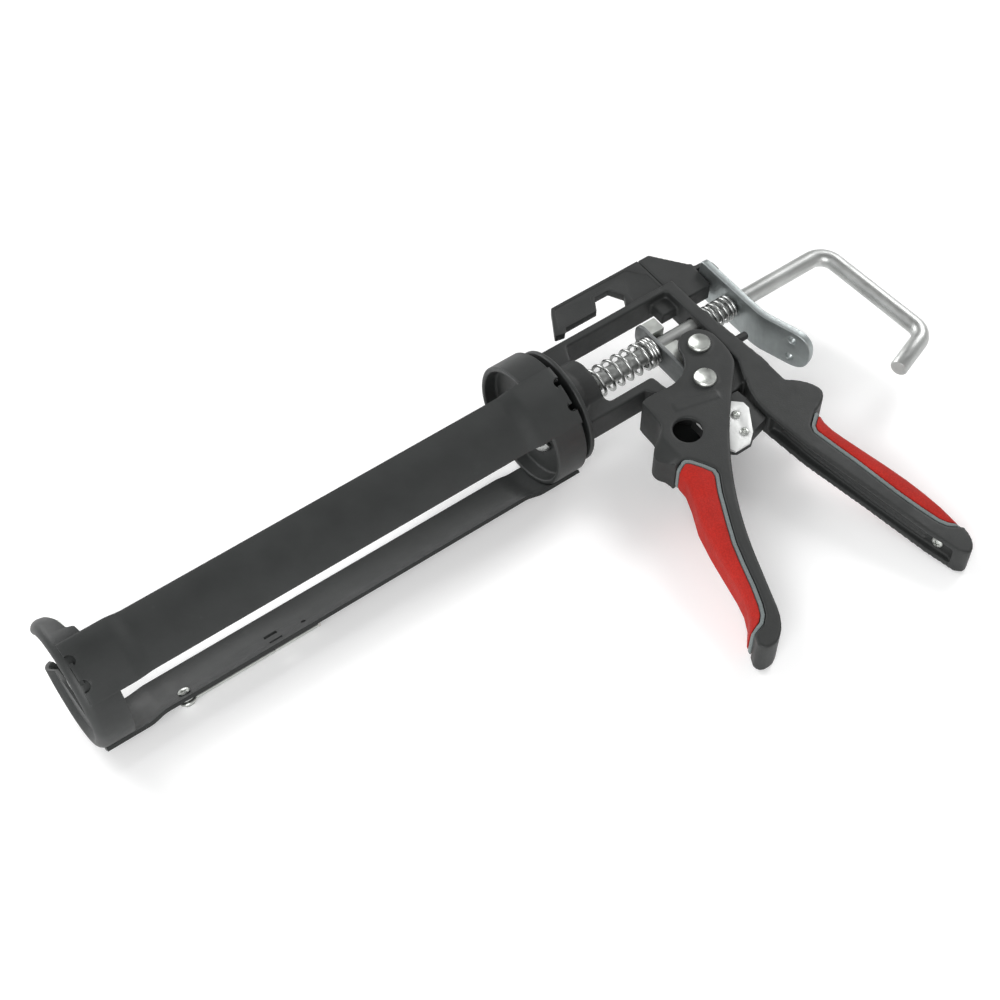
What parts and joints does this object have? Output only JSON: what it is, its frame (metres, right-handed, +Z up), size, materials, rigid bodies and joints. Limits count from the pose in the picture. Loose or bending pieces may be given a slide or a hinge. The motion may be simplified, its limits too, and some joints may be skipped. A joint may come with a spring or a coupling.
{
  "type": "caulking gun",
  "caption": "Cartridge caulking gun with a half-open turning cradle, push rod, sprung trigger, release lever, hanging hook and built-in nozzle cutter.",
  "frame": {"origin": "bottom centre of the box around the gun as it lies on its right side", "axes": "+X from the nozzle end to the rod handle along the barrel, +Y towards the top of the gun, +Z up off the surface it lies on"},
  "size_m": [0.4012, 0.2062, 0.06],
  "materials": {
    "charcoal_paint": "charcoal powder coat, fine texture",
    "charcoal_casting": "die casting under charcoal powder coat",
    "red_grip": "fine grained soft grip",
    "grey_border": "plain soft border of the grip",
    "zinc": "bright zinc plate",
    "spring_steel": "drawn spring wire",
    "plated_plate": "white zinc plated sheet"
  },
  "bodies": {
    "gun_frame": {"body_frame": "charcoal_casting", "boss_flange": "charcoal_paint", "retaining_clip": "spring_steel", "ladder_hook": "charcoal_casting", "lever_stop_pin": "charcoal_casting", "handle_border": "grey_border", "handle_grip": "red_grip", "handle_screw": "zinc", "cutter_housing": "charcoal_casting", "cutter_blade": "plated_plate", "cutter_screw_upper": "zinc", "cutter_screw_lower": "zinc", "main_spring": "spring_steel", "release_spring": "spring_steel"},
    "cradle": {"front_cap": "charcoal_paint", "cradle_strip_left": "charcoal_paint", "cradle_strip_right": "charcoal_paint", "cradle_ring": "charcoal_paint", "pin_rivet": "zinc"},
    "piercer": {"piercing_wire": "zinc"},
    "trigger": {"trigger": "charcoal_casting", "trigger_border": "grey_border", "trigger_grip": "red_grip", "trigger_rivet": "zinc", "drive_rivet": "zinc"},
    "drive": {"drive_block": "zinc"},
    "plunger": {"plunger_disc": "zinc"},
    "rod": {"push_rod": "zinc", "plunger_washer": "zinc", "plunger_nut": "zinc"},
    "lever": {"release_lever": "zinc"}
  },
  "joints": [
    {"name": "cradle_turn", "type": "hinge", "parent": "gun_frame", "child": "cradle", "pos_m": [0.01936, 0.05949, 0.03019], "axis": [1, 0, 0], "continuous": true},
    {"name": "wire_swing", "type": "hinge", "parent": "cradle", "child": "piercer", "pos_m": [-0.15964, 0.04392, 0.00303], "axis": [0, -0.4974, -0.8675], "range_deg": [0, 150]},
    {"name": "rod_slide", "type": "slide", "parent": "gun_frame", "child": "plunger", "axis": [1, 0, 0], "range_m": [0, 0.2]},
    {"name": "rod_turn", "type": "hinge", "parent": "plunger", "child": "rod", "pos_m": [0.01936, 0.05949, 0.03019], "axis": [1, 0, 0], "continuous": true},
    {"name": "trigger_squeeze", "type": "hinge", "parent": "gun_frame", "child": "trigger", "pos_m": [0.09486, 0.02782, 0.02564], "axis": [0, -0.1421, 0.9899], "range_deg": [0, 26], "stiffness_Nm_per_rad": 0.5, "springref_deg": -28.65},
    {"name": "drive_slide", "type": "slide", "parent": "gun_frame", "child": "drive", "axis": [-1, 0, 0], "range_m": [0, 0.009], "deforming": ["main_spring"]},
    {"name": "lever_tilt", "type": "hinge", "parent": "gun_frame", "child": "lever", "pos_m": [0.13911, 0.07929, 0.03303], "axis": [0, -0.1421, 0.9899], "range_deg": [-7, 0], "stiffness_Nm_per_rad": 0.5, "springref_deg": 17.19, "deforming": ["release_spring"]}
  ],
  "couplings": [
    {"joint": "drive_slide", "follows": "trigger_squeeze", "m_per_rad": 0.0186}
  ]
}
